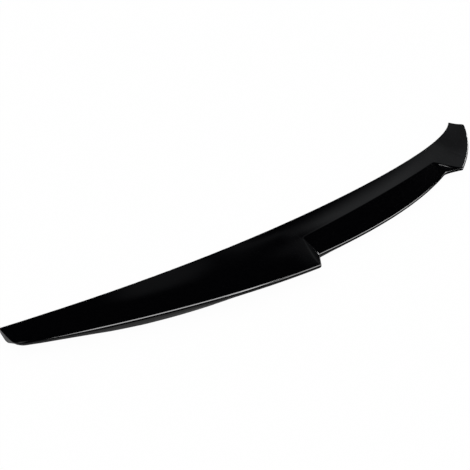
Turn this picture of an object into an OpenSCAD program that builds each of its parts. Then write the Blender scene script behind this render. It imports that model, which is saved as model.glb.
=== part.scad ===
// Boot-lid lip spoiler: a thin moulded shell, swept forward to its tips, with a sunk middle
// between raised wings. X runs across the car, +Y points to the front of the car, +Z is up.
// The part stands on its rear rim and on the front corners of its tips.

/* [Outline from above] */
// Width over the upper edges of the tips
span = 1240; // [1120:10:1360]
// Front to rear through the middle
chord = 79; // [70:1:90]
// Front to rear at the inner corner of each wing
wing_chord = 93; // [88:1:104]
// Front to rear at the tips
tip_chord = 39; // [32:1:48]
// How far the front corners of the tips lie ahead of the middle
sweep = 73; // [50:1:90]
// Share of the sweep that follows a plain parabola, the rest is drawn towards the tips
sweep_share = 0.65; // [0.4:0.05:1]
// Radius of the rear corner of each tip, seen from above
corner_r = 7; // [3:0.5:12]

/* [Heights above the surface it stands on] */
// Top of the front edge at the middle
front_h = 24; // [20:0.5:28]
// Share of the fall of the front edge that follows a plain parabola
front_share = 0.35; // [0.2:0.05:0.8]
// Top of the rear lip at the inner corner of each wing
wing_h = 22; // [19:0.5:27]
// Top of the rear lip at the tips
tip_h = 15; // [12:0.5:18]
// Top of the rear lip in the middle of the recess
recess_h = 13; // [9:0.5:15]
// How deep the top sinks below a straight line from front edge to rear lip
dish = 1.8; // [0:0.1:3.5]
// How much deeper the band ahead of the crease is hollowed
band_hollow = 0.75; // [0:0.05:1.5]
// How far that hollow runs on along each wing before it has faded out
hollow_run = 150; // [60:5:250]

/* [Recess] */
// Width of the sunk panel between the feet of its end walls
recess_w = 476; // [400:2:560]
// How far each end wall leans outwards on its way to the rear
wall_run = 35; // [24:1:50]
// Front edge to crease in the middle
crease_back = 36; // [30:1:42]
// How far the ends of the crease lie ahead of its middle
crease_bow = 5.5; // [0:0.5:10]
// How far the ends of the recess lip lie ahead of its middle
recess_bow = 16; // [8:0.5:22]
// Length of the rounding on each side of the crease
crease_round = 1.6; // [0.5:0.1:3]
// Share of an end wall taken by the rounding at its foot and at its top
foot_round = 0.12; // [0.05:0.01:0.3]

/* [Rear lip] */
// Radius along the top of the rear lip
lip_r = 3; // [2:0.25:4]
// Height of the upright face below that radius
face_h = 1.75; // [1:0.25:3]
// Rounding between the upright face and the undercut
face_round = 1.5; // [0.5:0.1:2]
// How far the rear rim lies ahead of the lip in the middle
rim_inset = 12.5; // [10:0.5:15]
// How far the rear rim lies ahead of the lip at the tips
tip_inset = 5; // [4:0.5:6]
// How far the rear rim rises towards the tips
rim_rise = 11; // [8:0.5:12]
// Share of the rim's sweep that follows a plain parabola
rim_share = 0.2; // [0.1:0.02:0.5]

/* [Shell and underside] */
// Thickness of the top skin
wall = 3; // [2:0.1:3.6]
// Thickness of the front edge
edge_t = 1.5; // [1:0.1:2.5]
// Height of the end face at the front corner of each tip
tip_skirt = 5; // [4:0.25:7]
// How far the lower edge of that end face sags below a straight line between its corners
tip_belly = 4; // [0:0.25:6]
// How far the end face leans outwards at its lower edge
tip_lean = 1.5; // [0:0.25:3]
// Width of the bonding land behind the front edge
front_land = 16; // [12:1:20]
// Width of the bonding land ahead of the rear rim
rear_land = 9; // [7:0.5:12]
// Solid length at each tip
tip_solid = 20; // [14:1:40]
// Distance between stiffening ribs
rib_pitch = 78; // [60:1:100]
// Thickness of a rib
rib_t = 2.5; // [1.5:0.1:4]
// Slope of the sides of ribs and pockets, as a width
draft = 1; // [0.5:0.1:1.5]
// Gap between a rib and the surface that the lands are bonded to
rib_gap = 1; // [0.5:0.1:2]

/* [Hidden] */

half = span / 2;
recess_half = recess_w / 2;
step_half = recess_half + wall_run;
pocket_half = half - tip_solid;
step_t = pow(step_half / half, 2);
edge_power = 20;       // the front edge thickens and the belly sags only close to the tips
dish_shape = 2.6;      // makes the dish as deep as its value where s is 0.58
third_shape = 6.75;    // makes a bulge as deep as its value a third of the way along
lip_lead = lip_r / 2;  // from the line where the lip looks sharp to the start of its radius
strip = 3;             // straight strip ahead of the radius on the wings
lip_share = 0.45;      // most of the rear height that the radius may take
face_share = 0.3;      // most of it that the upright face may take
land_limit = 0.8;      // most of the underside that both lands may take
rim_corner_r = max(1, corner_r - tip_inset);

ramp_n = 10;   // steps along the top, front edge to crease
panel_n = 3;   // steps from the crease to the lip
arc_n = 4;     // steps round the lip
roof_n = 5;    // steps across a pocket
wall_n = 10;   // steps over an end wall of the recess
corner_n = 5;  // steps round the rear corner of a tip

// Curves seen from above and from behind, each a function of the distance x from the middle
function mix(a, b, u) = a + (b - a) * u;
function bow(x, share) = let(t = pow(x / half, 2)) share * t + (1 - share) * t * t;
function past_step(x) = (1 - pow(x / half, 2)) / (1 - step_t);
function along_recess(x) = pow(min(x, recess_half) / recess_half, 2);

function front_y(x) = sweep * bow(x, sweep_share);
function front_z(x) = mix(front_h, tip_skirt, bow(x, front_share));
function edge_low_z(x) = front_z(x) - mix(edge_t, tip_skirt, pow(x / half, edge_power));

tip_rear_y = sweep - tip_chord;
step_rear_y = front_y(step_half) - wing_chord;
function wing_y(x) = mix(tip_rear_y, step_rear_y, past_step(x));
function wing_z(x) = mix(tip_h, wing_h, past_step(x));
function crown(x) = wing_z(0) - wing_z(x);

function corner(x, r) = let(d = max(0, x - half + r)) r - sqrt(r * r - d * d);
function rim_y(x) =
    mix(rim_inset - chord, tip_rear_y + tip_inset, bow(x, rim_share)) + corner(x, rim_corner_r);
function rim_z(x) = rim_rise * bow(x, 1);

// Top of the wings, a shallow dish from the front edge to the rear lip
function ramp_z(x, y) =
    let(s = (front_y(x) - y) / (front_y(x) - wing_y(x)))
    mix(front_z(x), wing_z(x), s) - dish * dish_shape * s * (1 - s * s) - hollow(x, y);

// Extra hollow from the front edge to the line of the crease, which fades out along the wings
function hollow(x, y) =
    let(u = min(1, (front_y(x) - y) / (front_y(x) - crease_y(x))),
        fade = min(1, max(0, (x - recess_half) / hollow_run)))
    band_hollow * pow(1 - fade * fade, 2)
    * mix(4 * u * (1 - u), third_shape * u * pow(1 - u, 2), wing_part(x));

// 0 along the recess, 1 along a wing, with a slope between them that is rounded at both ends
function ease(u, e) =
    u < e ? u * u / (2 * e * (1 - e))
    : u > 1 - e ? 1 - (1 - u) * (1 - u) / (2 * e * (1 - e))
    : (u - e / 2) / (1 - e);
function wing_part(x) = ease(min(1, max(0, (x - recess_half) / wall_run)), foot_round);

// Break in the top: the crease, then the upper edge of the end wall, then a strip along the lip
function crease_y(x) = crease_bow * along_recess(x) - crease_back;
function wing_lip_y(x) = wing_y(max(x, step_half)) + lip_lead + corner(x, corner_r);
function break_y(x) = mix(crease_y(x), wing_lip_y(x) + strip, wing_part(x));
function break_point(x) = [break_y(x), ramp_z(x, break_y(x))];

// Where the radius of the rear lip starts: on the recess, down the end wall, then on the wing
function recess_lip(x) =
    [recess_bow * along_recess(x) - chord + lip_lead, recess_h - crown(min(x, recess_half))];
function wing_lip(x) = [wing_lip_y(x), ramp_z(max(x, step_half), wing_lip_y(x))];
function lip_point(x) = mix(recess_lip(x), wing_lip(x), wing_part(x));
function lip_room(x) = lip_point(x)[1] - rim_z(x);

function top_z(x, y) =
    let(k = break_point(x), v = lip_point(x))
    y > k[0] ? ramp_z(x, y) : mix(k[1], v[1], (k[0] - y) / (k[0] - v[0]));

// Three points that round the corner b between a and c
function toward(a, b, d) = a + (b - a) * (d / norm(b - a));
function bend(a, b, c, d) =
    let(p = toward(b, a, min(d, norm(a - b) / 2)), q = toward(b, c, min(d, norm(c - b) / 2)))
    [p, (p + 2 * b + q) / 4, q];

// Underside: the lands lie on the boot lid, the pockets follow the top skin between the ribs
rib_count = floor(pocket_half / rib_pitch);
function from_rim(x, y) = (y - rim_y(x)) / (front_y(x) - rim_y(x));
function lid_z(x, y) =
    let(t = from_rim(x, y))
    mix(rim_z(x), edge_low_z(x), t) - tip_belly * third_shape * t * pow(1 - t, 2) * pow(x / half, edge_power);
function lean(x, y) = let(t = from_rim(x, y)) x < half ? 0 : 4 * tip_lean * t * (1 - t);
function from_rib(x) =
    let(n = floor(x / rib_pitch)) n < rib_count ? abs(x - (n + 0.5) * rib_pitch) : rib_pitch;
function beside_rib(x) = min(1, max(0, (from_rib(x) - rib_t / 2) / draft));
function before_tip(x) = min(1, max(0, (pocket_half - x) / draft));
function roof_z(x, y) =
    let(low = lid_z(x, y), high = max(low + rib_gap, top_z(x, y) - wall))
    mix(low, mix(low + rib_gap, high, beside_rib(x)), before_tip(x));
function land_scale(x) = min(1, land_limit * (front_y(x) - rim_y(x)) / (front_land + rear_land));

// One closed cross-section, over the top from the front edge and back along the underside
function ramp_points(x) =
    [for (i = [0:ramp_n - 1])
        let(y = mix(front_y(x), break_y(x) + crease_round, i / ramp_n)) [y, ramp_z(x, y)]];
function crease_points(x) =
    let(y = break_y(x) + crease_round)
    bend([y, ramp_z(x, y)], break_point(x), lip_point(x), 2 * crease_round);
function panel_points(x, start) =
    [for (i = [1:panel_n - 1]) mix(start, lip_point(x), i / panel_n)];
function lip_arc(x) =
    let(k = break_point(x), v = lip_point(x), rise = atan2(v[1] - k[1], k[0] - v[0]),
        r = min(lip_r, lip_share * lip_room(x)), c = v - r * [sin(rise), cos(rise)])
    [for (i = [0:arc_n]) let(a = mix(rise, -90, i / arc_n)) c + r * [sin(a), cos(a)]];
function face_points(x, top) =
    let(low = top - [0, min(face_h, face_share * lip_room(x))])
    bend(top, low, [rim_y(x), rim_z(x)], face_round);
function under_points(x) =
    let(rim = rim_y(x), front = front_y(x),
        b = rim + rear_land * land_scale(x), f = front - front_land * land_scale(x),
        a = mix(b + draft / 2, min(b, lip_point(x)[0] - lip_lead + 2 * wall), beside_rib(x) * before_tip(x)))
    concat([[rim, rim_z(x)], [b, lid_z(x, b)]],
           [for (i = [0:roof_n]) let(y = mix(a, f - draft, i / roof_n)) [y, roof_z(x, y)]],
           [[f, lid_z(x, f)], [front, edge_low_z(x)]]);
function section(x) =
    let(crease = crease_points(x), arc = lip_arc(x))
    concat(ramp_points(x), crease, panel_points(x, crease[2]), arc,
           face_points(x, arc[arc_n]), under_points(x));

// Places of the cross-sections: at every rib and between ribs, over the end walls, round the tips
rib_edge = rib_t / 2 + draft;
rib_places =
    [for (n = [0:rib_count - 1], d = [-rib_edge, -rib_t / 2, rib_t / 2, rib_edge]) (n + 0.5) * rib_pitch + d];
fill_places = [for (n = [0:rib_count], d = [1 / 6, 5 / 6]) (n + d) * rib_pitch];
wall_places = [for (i = [0:wall_n]) recess_half + wall_run * i / wall_n];
tip_places = [for (i = [0:corner_n]) half - corner_r * (1 - sin(90 * i / corner_n))];
function sorted(v) =
    len(v) < 2 ? v
    : let(p = v[floor(len(v) / 2)])
      concat(sorted([for (e = v) if (e < p) e]), [p], sorted([for (e = v) if (e > p) e]));
function spaced(v) = [for (i = [0:len(v) - 1]) if (i == len(v) - 1 || v[i + 1] - v[i] > 0.2) v[i]];
half_places = spaced(sorted([for (e = concat(rib_places, fill_places, wall_places, tip_places,
                                             [pocket_half - draft, pocket_half])) if (e <= half) e]));
last = len(half_places) - 1;
places = concat([for (i = [0:last]) -half_places[last - i]], half_places);

// Closes an end with triangles between the top, from point a on, and the underside, back from b
function close_end(ring, a, b) =
    b == a + 1 ? []
    : ring[a + 1][0] > ring[b - 1][0] ? concat([[a, a + 1, b]], close_end(ring, a + 1, b))
    : concat([[a, b - 1, b]], close_end(ring, a, b - 1));

module shell() {
    rings = [for (x = places) section(abs(x))];
    n = len(rings[0]);
    ends = [for (ring = rings, p = ring) p[0]];
    y_mid = (min(ends) + max(ends)) / 2;
    under = n - len(under_points(0));
    points = [for (i = [0:len(places) - 1], j = [0:n - 1])
        let(x = places[i], p = rings[i][j], out = j < under ? 0 : lean(abs(x), p[0]))
        [x + sign(x) * out, p[0] - y_mid, p[1]]];
    sides = [for (i = [0:len(places) - 2], j = [0:n - 1])
        let(a = i * n + j, b = i * n + (j + 1) % n, c = b + n, d = a + n)
        each (places[i] < 0 ? [[a, d, b], [b, d, c]] : [[a, d, c], [a, c, b]])];
    near_cap = close_end(rings[0], 0, n - 1);
    far_cap = [for (t = near_cap) [for (k = [2, 1, 0]) len(points) - n + t[k]]];
    polyhedron(points, concat(sides, near_cap, far_cap), convexity = 12);
}

module lip_spoiler() {
    color([0.02, 0.02, 0.022]) shell();
}

lip_spoiler();
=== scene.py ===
# Boot-lid lip spoiler in gloss black ABS, on a white studio floor.
# X runs across the car, +Y points to the front of the car and +Z is up. Sizes are in metres.
import math

import bpy
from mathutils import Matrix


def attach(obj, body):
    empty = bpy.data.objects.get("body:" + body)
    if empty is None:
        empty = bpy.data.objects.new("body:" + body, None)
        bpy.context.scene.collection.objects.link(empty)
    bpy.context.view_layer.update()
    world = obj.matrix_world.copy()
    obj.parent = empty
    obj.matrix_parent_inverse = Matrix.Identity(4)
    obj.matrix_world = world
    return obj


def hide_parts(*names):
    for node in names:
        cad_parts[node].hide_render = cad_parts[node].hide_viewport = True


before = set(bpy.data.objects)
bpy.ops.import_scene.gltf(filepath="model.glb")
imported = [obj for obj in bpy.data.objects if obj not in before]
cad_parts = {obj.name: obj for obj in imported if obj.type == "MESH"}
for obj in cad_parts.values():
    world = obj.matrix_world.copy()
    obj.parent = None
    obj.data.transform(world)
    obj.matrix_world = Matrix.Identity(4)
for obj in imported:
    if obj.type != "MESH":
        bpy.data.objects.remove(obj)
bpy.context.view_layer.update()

# The moulding
SHARP = math.radians(38)    # edges that the mould leaves sharp turn by more than this
FLAT = math.radians(60)     # two triangles that turn by less than this can make one four-sided face
CREASE = 0.85               # how tightly the curves hold to a sharp edge, from 0 to 1
WELD = 1e-6                 # corners nearer than this are one corner
FACES_DOWN = -0.75          # faces whose normals have a Z below this are on the hidden side
ABS_IOR = 1.53

# The floor
FLOOR_SIZE = 30
FLOOR_GAP = 0.0002          # keeps the floor just clear of what stands on it
SHADOW_SHARE = 0.03         # how much of the paper's own light and shadow the camera sees
NEAR_END = -0.65            # X just beyond the near tip
NEAR_PAINTED_LIGHT = 0.6             # painted light of the paper in the gloss, at the near end
FAR_PAINTED_LIGHT = 0.04             # painted light of the paper in the gloss, from the middle on

# The dark room that the gloss shows. Angles are in degrees, and azimuths go round from the +X end of the
# span towards the front of the car. An edge goes from its angle without light to its angle in full light.
# Light is given by height, which is the sine of the elevation.
WALL_NEAR_EDGE = (-12, 1)
WALL_LEAN = 0.85            # degrees that the near edge stands further round for each degree of elevation
WALL_FAR_EDGE = (31, 24)
WALL_BEND = 36              # elevation above which the far edge leans by a degree for each degree
WALL_LIGHT = ((0.0, 0.03), (0.24, 0.03), (0.29, 0.07), (0.4, 0.14), (0.5, 0.17), (0.62, 0.09), (1.0, 0.03))
HIGH_LIGHT = 0.08
HIGH_LIGHT_EDGE = (43, 47)  # of elevation
HIGH_LIGHT_SIDES = ((28, 40), (66, 54))
BACK_WALL_EDGE = (100, 130)
BACK_WALL_LIGHT = ((0.0, 0.55), (0.5, 0.4), (0.85, 0.15), (1.0, 0.0))

# The lamps and the camera
LAMP_HEIGHT = 1.4
CAMERA_PLACE = (-0.72565, -0.27580, 0.36870)
CAMERA_TURN = (55.537, -8.355, -46.857)     # degrees
SENSOR_WIDTH = 36.0                         # millimetres
PICTURE_WIDTH = 470                         # pixels
FOCAL_LENGTH = 450                          # pixels


def linear(hex_colour):
    """An sRGB hex colour as the linear values that a shader takes."""
    channels = [int(hex_colour[i:i + 2], 16) / 255 for i in (1, 3, 5)]
    return [c / 12.92 if c <= 0.04045 else ((c + 0.055) / 1.055) ** 2.4 for c in channels] + [1.0]


def per_metre(millimetres):
    """The scale of a pattern whose features are this far apart."""
    return 1000 / millimetres


def add_node(tree, kind, settings=None, **links):
    """Adds a node, with its settings by name, and its inputs as values or as other nodes' outputs.

    An input is given by its name, with _ for a space, or by i and its number.
    """
    node = tree.nodes.new(kind)
    for name, value in (settings or {}).items():
        setattr(node, name, value)
    for name, value in links.items():
        numbered = name[0] == "i" and name[1:].isdigit()
        socket = node.inputs[int(name[1:]) if numbered else name.replace("_", " ")]
        if isinstance(value, bpy.types.NodeSocket):
            tree.links.new(value, socket)
        else:
            socket.default_value = value
    return node


def new_material(name):
    """An empty node material."""
    material = bpy.data.materials.new(name)
    material.use_nodes = True
    material.node_tree.nodes.clear()
    return material, material.node_tree


def gloss_black_abs():
    """ABS moulded in black against a polished tool: a mirror-like skin with a faint slow ripple."""
    material, tree = new_material("gloss_black_abs")
    place = add_node(tree, "ShaderNodeTexCoord").outputs["Object"]
    # Slow ripple of the skin over the ribs and lands, about 30 mm from crest to crest
    ripple = add_node(tree, "ShaderNodeTexNoise", Vector=place, Scale=per_metre(31.25), Detail=1.0,
                      Roughness=0.4)
    # Fine haze from handling, in patches of about 4 mm
    haze = add_node(tree, "ShaderNodeTexNoise", Vector=place, Scale=per_metre(3.846), Detail=4.0,
                    Roughness=0.6)
    shine = add_node(tree, "ShaderNodeMapRange", Value=haze.outputs["Fac"],
                     From_Min=0.3, From_Max=0.75, To_Min=0.05, To_Max=0.09)
    bump = add_node(tree, "ShaderNodeBump", Strength=0.06, Distance=0.0006, Height=ripple.outputs["Fac"])
    shader = add_node(tree, "ShaderNodeBsdfPrincipled", Base_Color=linear("#020203"), IOR=ABS_IOR,
                      Roughness=shine.outputs["Result"], Normal=bump.outputs["Normal"])
    add_node(tree, "ShaderNodeOutputMaterial", Surface=shader.outputs["BSDF"])
    return material


def satin_black_abs():
    """The hidden side of the same moulding: spark-eroded tool, fine even grain, half matt."""
    material, tree = new_material("satin_black_abs")
    place = add_node(tree, "ShaderNodeTexCoord").outputs["Object"]
    # Grain of a spark-eroded tool is about 0.1 mm, drawn at 0.6 mm so that it shows
    grain = add_node(tree, "ShaderNodeTexNoise", Vector=place, Scale=per_metre(0.625), Detail=3.0,
                     Roughness=0.65)
    bump = add_node(tree, "ShaderNodeBump", Strength=0.25, Distance=0.0002, Height=grain.outputs["Fac"])
    shine = add_node(tree, "ShaderNodeMapRange", Value=grain.outputs["Fac"], To_Min=0.34, To_Max=0.48)
    shader = add_node(tree, "ShaderNodeBsdfPrincipled", Base_Color=linear("#131315"), IOR=ABS_IOR,
                      Roughness=shine.outputs["Result"], Normal=bump.outputs["Normal"])
    add_node(tree, "ShaderNodeOutputMaterial", Surface=shader.outputs["BSDF"])
    return material


def moulded_shell():
    """The one moulding. It starts from the loft's own mesh and gets true curves between the sections."""
    shell = bpy.data.objects.new("moulded_shell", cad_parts["lip_spoiler"].data.copy())
    bpy.context.scene.collection.objects.link(shell)
    shell.data.materials.clear()
    shell.data.materials.append(gloss_black_abs())
    shell.data.materials.append(satin_black_abs())
    bpy.ops.object.select_all(action="DESELECT")
    shell.select_set(True)
    bpy.context.view_layer.objects.active = shell
    # The loft's loose triangles become one skin of four-sided faces
    bpy.ops.object.mode_set(mode="EDIT")
    bpy.ops.mesh.select_mode(type="EDGE")
    bpy.ops.mesh.select_all(action="SELECT")
    bpy.ops.mesh.remove_doubles(threshold=WELD)
    bpy.ops.mesh.tris_convert_to_quads(face_threshold=FLAT, shape_threshold=math.pi)
    # The steps, rims and lands keep their edges, and all else is rounded
    bpy.ops.mesh.select_all(action="DESELECT")
    bpy.ops.mesh.edges_select_sharp(sharpness=SHARP)
    bpy.ops.transform.edge_crease(value=CREASE)
    bpy.ops.object.mode_set(mode="OBJECT")
    curves = shell.modifiers.new("curves", "SUBSURF")
    curves.levels = curves.render_levels = 2
    curves.use_creases = True
    bpy.ops.object.modifier_apply(modifier=curves.name)
    # The gloss is the first material, and the satin of the hidden side is the second
    for polygon in shell.data.polygons:
        polygon.material_index = 1 if polygon.normal.z < FACES_DOWN else 0
    bpy.ops.object.shade_smooth_by_angle(angle=SHARP)
    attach(shell, "root")
    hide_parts("lip_spoiler")
    return shell


def studio_floor():
    """Seamless white floor: white to the camera, greyer in reflections by painted shade, with painted light
    there at the near end, and the object's soft shadow.
    """
    bpy.ops.object.select_all(action="DESELECT")
    bpy.ops.mesh.primitive_plane_add(size=FLOOR_SIZE, location=(0, 0, 0))
    floor = bpy.context.object
    floor.name = "floor"
    floor.location.z = -FLOOR_GAP
    bpy.ops.object.transform_apply(location=True)
    material, tree = new_material("white_studio_paper")
    rays = add_node(tree, "ShaderNodeLightPath")
    mirrored = add_node(tree, "ShaderNodeMath", {"operation": "MAXIMUM"},
                        i0=rays.outputs["Is Glossy Ray"], i1=rays.outputs["Is Transmission Ray"])
    seen = add_node(tree, "ShaderNodeMath", {"operation": "MULTIPLY"},
                    i0=rays.outputs["Is Camera Ray"], i1=1 - SHADOW_SHARE)
    # Painted light and shade in the paper's colour: the gloss shows the floor bright at the near end of the
    # span and dim from the middle on
    place = add_node(tree, "ShaderNodeTexCoord").outputs["Object"]
    span = add_node(tree, "ShaderNodeSeparateXYZ", Vector=place)
    dim = add_node(tree, "ShaderNodeMapRange", {"interpolation_type": "SMOOTHSTEP"},
                   Value=span.outputs["X"], From_Min=NEAR_END, From_Max=0.0,
                   To_Min=NEAR_PAINTED_LIGHT, To_Max=FAR_PAINTED_LIGHT)
    # A Mix node has its colours on inputs 6 and 7 and on output 2
    # Reflections take the painted light in place of the paper's own colour
    paper_with_painted_light = add_node(tree, "ShaderNodeMix", {"data_type": "RGBA"}, i0=mirrored.outputs[0],
                    i6=linear("#F4F4F4"), i7=dim.outputs["Result"])
    paper = add_node(tree, "ShaderNodeBsdfDiffuse", Color=paper_with_painted_light.outputs[2])
    white = add_node(tree, "ShaderNodeEmission", Color=linear("#FFFFFF"), Strength=1.0)
    mixed = add_node(tree, "ShaderNodeMixShader", i0=seen.outputs[0],
                     i1=paper.outputs["BSDF"], i2=white.outputs["Emission"])
    add_node(tree, "ShaderNodeOutputMaterial", Surface=mixed.outputs["Shader"])
    floor.data.materials.append(material)


def light_by_height(tree, height, stops):
    """Turns a height from 0 to 1 into a light, by stops of height and light with smooth steps between."""
    ramp = add_node(tree, "ShaderNodeValToRGB", Fac=height)
    ramp.color_ramp.interpolation = "EASE"
    elements = ramp.color_ramp.elements
    while len(elements) < len(stops):
        elements.new(0.5)
    for element, (place, light) in zip(elements, stops):
        element.position = place
        element.color = (light, light, light, 1)
    return ramp.outputs["Color"]


def soft_edge(tree, angle, edge):
    """Rises smoothly from 0 to 1 between the two angles of an edge, in degrees."""
    start, end = edge
    rise = add_node(tree, "ShaderNodeMapRange", {"interpolation_type": "SMOOTHSTEP"},
                    Value=angle, From_Min=math.radians(start), From_Max=math.radians(end))
    return rise.outputs["Result"]


def studio_room():
    """White to the camera and to matt surfaces.

    The gloss sees a dark room instead, with a soft grey wall ahead of the photo's camera that is brightest
    half-way up, and a lighter wall behind the camera.
    """
    world = bpy.data.worlds.new("studio")
    bpy.context.scene.world = world
    world.use_nodes = True
    tree = world.node_tree
    tree.nodes.clear()
    rays = add_node(tree, "ShaderNodeLightPath")
    direction = add_node(tree, "ShaderNodeTexCoord").outputs["Generated"]
    parts = add_node(tree, "ShaderNodeSeparateXYZ", Vector=direction)
    height = parts.outputs["Z"]
    azimuth = add_node(tree, "ShaderNodeMath", {"operation": "ARCTAN2"},
                       i0=parts.outputs["Y"], i1=parts.outputs["X"]).outputs[0]
    elevation = add_node(tree, "ShaderNodeMath", {"operation": "ARCSINE"}, i0=height).outputs[0]
    # The wall ahead
    leant = add_node(tree, "ShaderNodeMath", {"operation": "MULTIPLY_ADD"},
                     i0=elevation, i1=-WALL_LEAN, i2=azimuth)
    above = add_node(tree, "ShaderNodeMath", {"operation": "SUBTRACT"},
                     i0=elevation, i1=math.radians(WALL_BEND))
    above = add_node(tree, "ShaderNodeMath", {"operation": "MAXIMUM"}, i0=above.outputs[0], i1=0.0)
    bent = add_node(tree, "ShaderNodeMath", {"operation": "SUBTRACT"}, i0=azimuth, i1=above.outputs[0])
    side = add_node(tree, "ShaderNodeMath", {"operation": "MULTIPLY"},
                    i0=soft_edge(tree, leant.outputs[0], WALL_NEAR_EDGE),
                    i1=soft_edge(tree, bent.outputs[0], WALL_FAR_EDGE))
    wall = add_node(tree, "ShaderNodeMath", {"operation": "MULTIPLY"},
                    i0=side.outputs[0], i1=light_by_height(tree, height, WALL_LIGHT))
    # A faint light above the wall, further round
    high = soft_edge(tree, elevation, HIGH_LIGHT_EDGE)
    for edge in HIGH_LIGHT_SIDES:
        high = add_node(tree, "ShaderNodeMath", {"operation": "MULTIPLY"},
                        i0=high, i1=soft_edge(tree, azimuth, edge)).outputs[0]
    wall = add_node(tree, "ShaderNodeMath", {"operation": "MULTIPLY_ADD"},
                    i0=high, i1=HIGH_LIGHT, i2=wall.outputs[0])
    # The wall on the other side, so that the gloss also shows its form from there
    either_way = add_node(tree, "ShaderNodeMath", {"operation": "ABSOLUTE"}, i0=azimuth)
    behind = add_node(tree, "ShaderNodeMath", {"operation": "MULTIPLY"},
                      i0=soft_edge(tree, either_way.outputs[0], BACK_WALL_EDGE),
                      i1=light_by_height(tree, height, BACK_WALL_LIGHT))
    wall = add_node(tree, "ShaderNodeMath", {"operation": "ADD"}, i0=wall.outputs[0], i1=behind.outputs[0])
    dim = add_node(tree, "ShaderNodeBackground", Color=linear("#F9FCFF"), Strength=wall.outputs[0])
    white = add_node(tree, "ShaderNodeBackground", Color=linear("#FFFFFF"), Strength=1.0)
    room = add_node(tree, "ShaderNodeMixShader", i0=rays.outputs["Is Glossy Ray"],
                    i1=white.outputs[0], i2=dim.outputs[0])
    add_node(tree, "ShaderNodeOutputWorld", Surface=room.outputs[0])


def softbox(name, place, size, radiance, turn=0, tilt=0):
    """A rectangular lamp that only the gloss shows. It shines straight down before its tilt, in degrees."""
    bpy.ops.object.light_add(type="AREA", location=place,
                             rotation=(0, math.radians(tilt), math.radians(turn)))
    light = bpy.context.object
    light.name = name
    light.data.shape = "RECTANGLE"
    light.data.size, light.data.size_y = size
    light.data.energy = math.pi * size[0] * size[1] * radiance
    light.visible_diffuse = False


def lip_lamps():
    """The lamps that draw the bright line along the lip, from the near tip to the far one."""
    softbox("near_lip_box", (-0.05, -0.13, LAMP_HEIGHT), (1.1, 1.0), 9, turn=-36)
    softbox("middle_lip_box", (0.2, -0.95, LAMP_HEIGHT + 0.01), (0.25, 0.7), 11, turn=-20)
    softbox("long_lip_box", (2.58, -1.43, LAMP_HEIGHT), (4.2, 1.6), 5.5, turn=-4)
    softbox("far_lip_strip", (4.98, 0.45, 0.76), (1.3, 0.17), 8, turn=5.2, tilt=81)
    # The light spot on the far end wall of the sunk panel
    softbox("far_step_lamp", (0.88, -0.2, LAMP_HEIGHT), (0.03, 0.05), 6)


def photo_camera():
    """Looks down along the span from beside the near tip, as the photograph does."""
    bpy.ops.object.camera_add(location=CAMERA_PLACE, rotation=[math.radians(a) for a in CAMERA_TURN])
    camera = bpy.context.object
    camera.data.sensor_width = SENSOR_WIDTH
    camera.data.lens = SENSOR_WIDTH * FOCAL_LENGTH / PICTURE_WIDTH
    camera.data.clip_start = 0.01
    bpy.context.scene.camera = camera


photo_camera()
moulded_shell()
studio_floor()
studio_room()
lip_lamps()
bpy.context.scene.view_settings.view_transform = "Standard"
